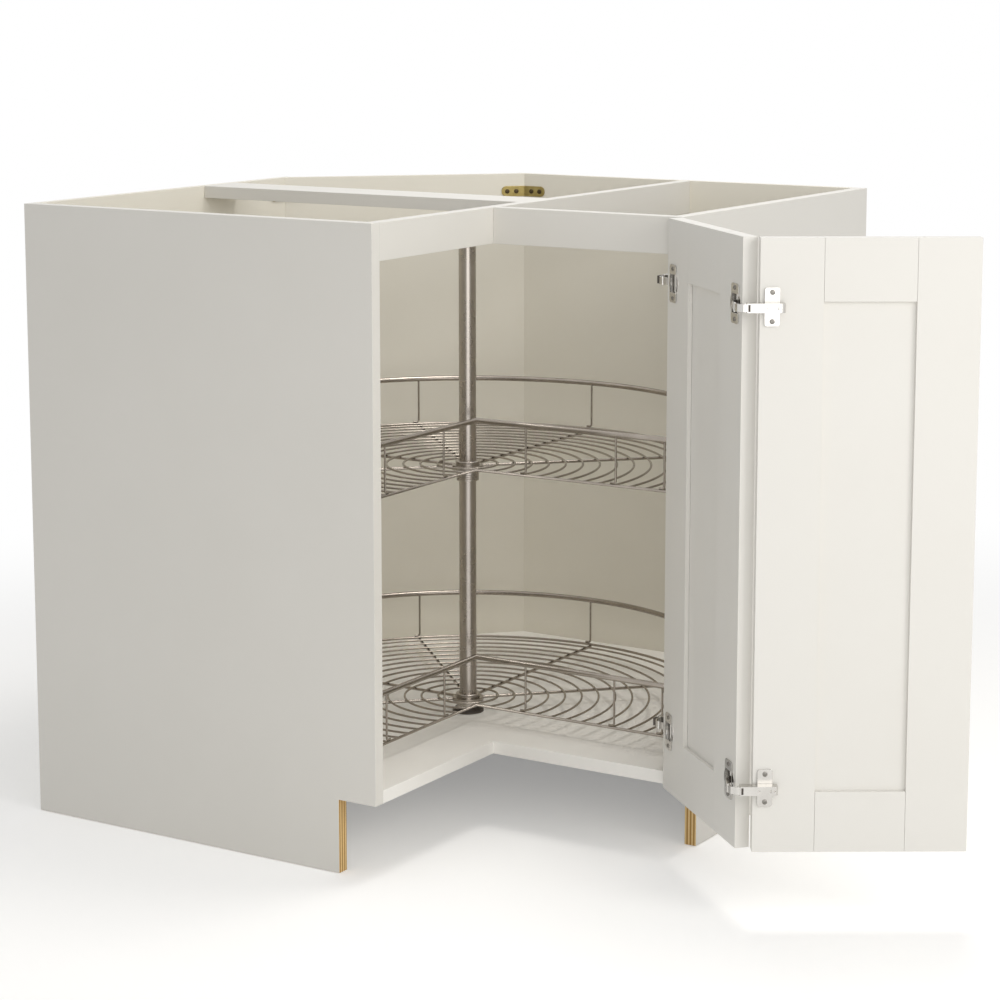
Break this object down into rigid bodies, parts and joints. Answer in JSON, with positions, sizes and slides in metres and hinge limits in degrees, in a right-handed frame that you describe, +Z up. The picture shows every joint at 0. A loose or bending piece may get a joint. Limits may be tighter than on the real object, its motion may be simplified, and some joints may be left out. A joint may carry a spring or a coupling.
{
  "type": "corner carousel cabinet",
  "caption": "L-shaped corner base cabinet with pie-cut wire trays turning on a steel pole and a folding pair of shaker doors hinged on the right side.",
  "frame": {"origin": "centre of the bounding box at floor level, with the doors open as pictured", "axes": "+Z up; -X and +Y towards the two walls of the room corner, so the L-shaped front faces +X -Y"},
  "size_m": [1.3216, 0.881, 0.876],
  "materials": {
    "painted_board": "satin off-white paint on plywood",
    "interior_board": "satin warm white",
    "painted_door": "satin off-white paint",
    "brass": "yellow zinc plated",
    "nickel": "bright nickel plate",
    "pole_steel": "bright plated steel",
    "wire": "bright plated wire",
    "bearing": "dark moulded"
  },
  "bodies": {
    "cabinet": {"side_panel_left": "painted_board", "side_panel_right": "painted_board", "back_left": "interior_board", "back_right": "interior_board", "back_diagonal": "interior_board", "floor_panel": "interior_board", "top_rail_long": "painted_board", "top_rail_right": "painted_board", "carousel_stretcher": "painted_board", "corner_brace_left": "brass", "corner_brace_right": "brass", "pole": "pole_steel", "pole_foot": "bearing", "upper_collar": "pole_steel", "side_hinge_plate_lower": "nickel", "side_hinge_plate_upper": "nickel", "side_hinge_arm_lower": "nickel", "side_hinge_arm_upper": "nickel"},
    "lower_shelf": {"lower_hub": "pole_steel", "lower_tray_grid": "wire", "lower_tray_gallery": "wire"},
    "upper_shelf": {"upper_hub": "pole_steel", "upper_tray_grid": "wire", "upper_tray_gallery": "wire"},
    "door_right": {"door_right_stile_first": "painted_door", "door_right_stile_second": "painted_door", "door_right_rail_bottom": "painted_door", "door_right_rail_top": "painted_door", "door_right_panel": "painted_door", "side_hinge_cup_lower": "nickel", "side_hinge_cup_upper": "nickel", "fold_hinge_cup_lower": "nickel", "fold_hinge_cup_upper": "nickel"},
    "door_left": {"door_left_stile_first": "painted_door", "door_left_stile_second": "painted_door", "door_left_rail_bottom": "painted_door", "door_left_rail_top": "painted_door", "door_left_panel": "painted_door", "fold_hinge_plate_lower": "nickel", "fold_hinge_plate_upper": "nickel", "fold_hinge_arm_lower": "nickel", "fold_hinge_arm_upper": "nickel"}
  },
  "joints": [
    {"name": "side_hinge", "type": "hinge", "parent": "cabinet", "child": "door_right", "pos_m": [0.21618, -0.15842, 0.489], "axis": [0, 0, 1], "range_deg": [-138, 5]},
    {"name": "fold_hinge", "type": "hinge", "parent": "door_right", "child": "door_left", "pos_m": [0.42206, -0.32955, 0.489], "axis": [0, 0, -1], "range_deg": [-15.51, 0.57]},
    {"name": "lower_shelf_spin", "type": "hinge", "parent": "cabinet", "child": "lower_shelf", "pos_m": [-0.18983, -0.0305, 0.143], "axis": [0, 0, 1], "range_deg": [-360, 360]},
    {"name": "upper_shelf_spin", "type": "hinge", "parent": "cabinet", "child": "upper_shelf", "pos_m": [-0.18983, -0.0305, 0.49], "axis": [0, 0, 1], "range_deg": [-360, 360]}
  ],
  "couplings": [
    {"joint": "fold_hinge", "follows": "side_hinge", "ratio": 0.11232}
  ]
}
